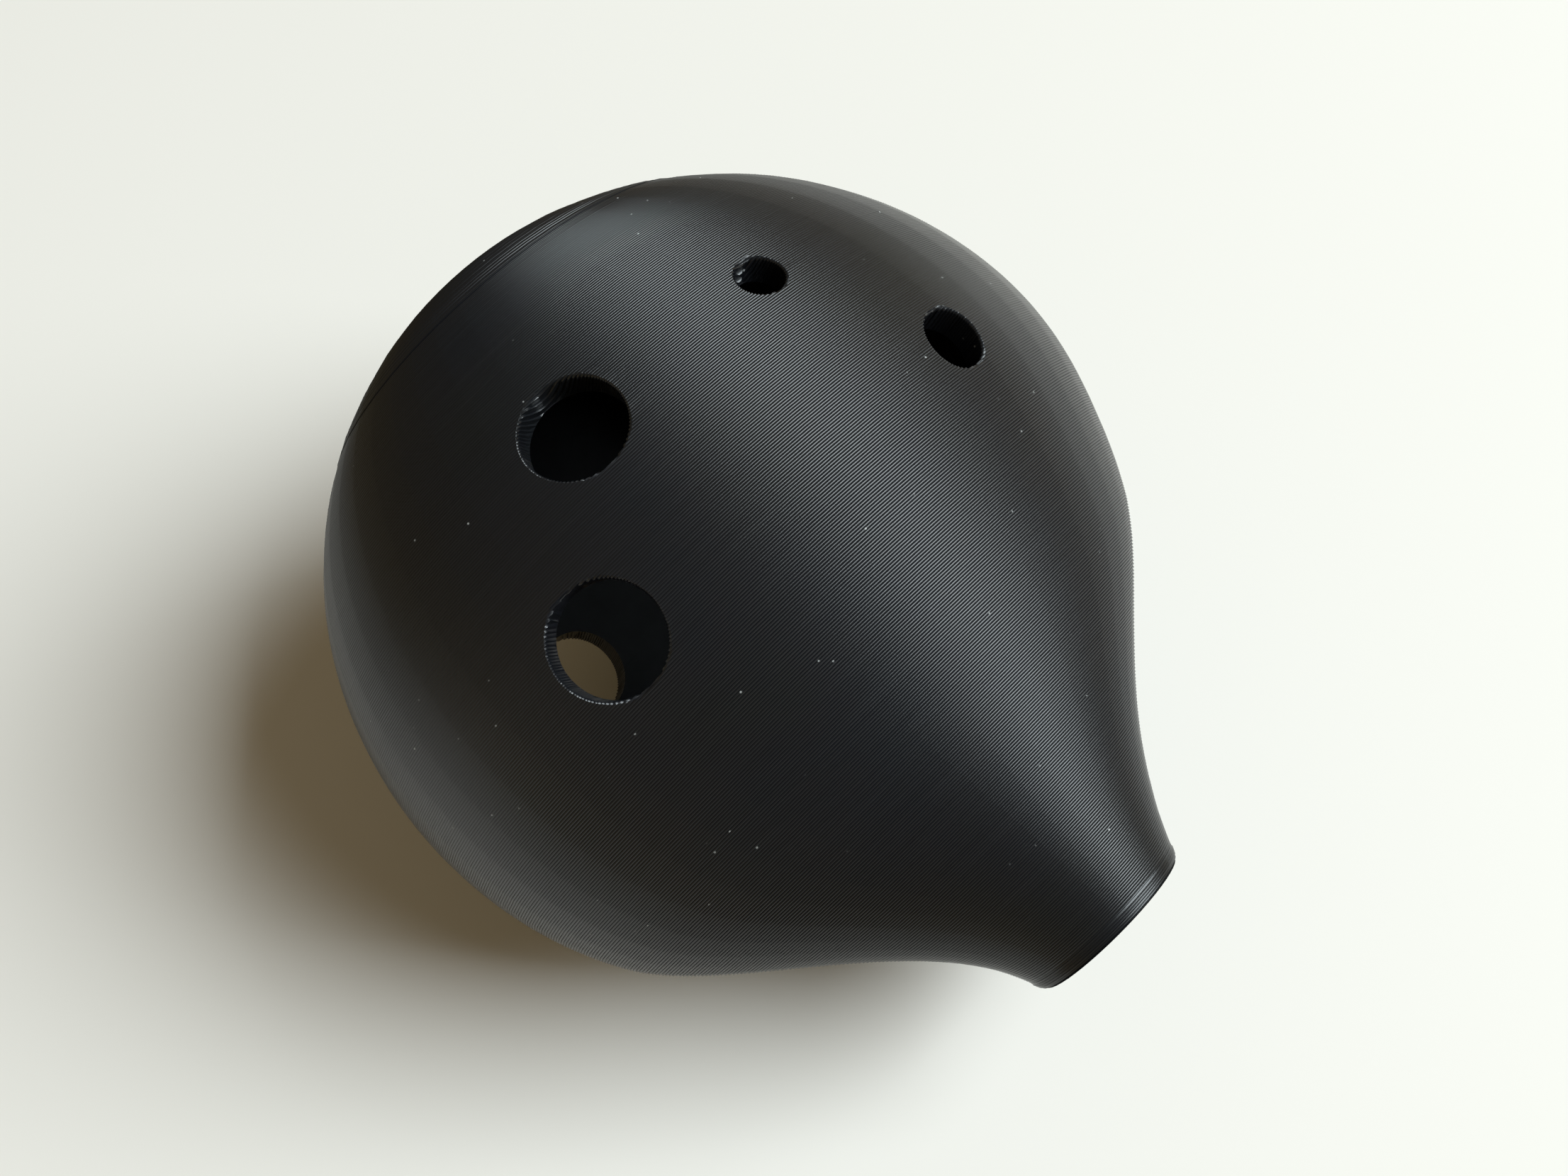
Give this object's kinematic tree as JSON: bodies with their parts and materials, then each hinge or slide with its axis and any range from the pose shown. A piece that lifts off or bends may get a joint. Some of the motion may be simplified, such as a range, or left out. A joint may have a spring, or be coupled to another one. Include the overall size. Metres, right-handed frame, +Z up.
{
  "type": "ocarina",
  "caption": "Small round vessel flute with a tapering mouthpiece neck, finger holes on top, thumb holes underneath and a fipple window in the belly.",
  "frame": {"origin": "middle of the small flat on the belly that the ocarina rests on, on the table", "axes": "+Y from the rounded rear towards the mouthpiece, +X towards the two large finger holes, +Z up from the table to the finger holes"},
  "size_m": [0.0678, 0.0754, 0.0508],
  "materials": {
    "printed_shell": "black printed plastic with a low satin sheen and fine layer lines",
    "printed_cap": "black printed plastic, slightly rougher than the shell",
    "printed_insert": "black printed plastic with flat, smooth faces"
  },
  "bodies": {
    "root": {"body_shell": "printed_shell", "end_cap": "printed_cap", "fipple_block": "printed_insert", "labium_insert": "printed_insert"}
  },
  "joints": []
}
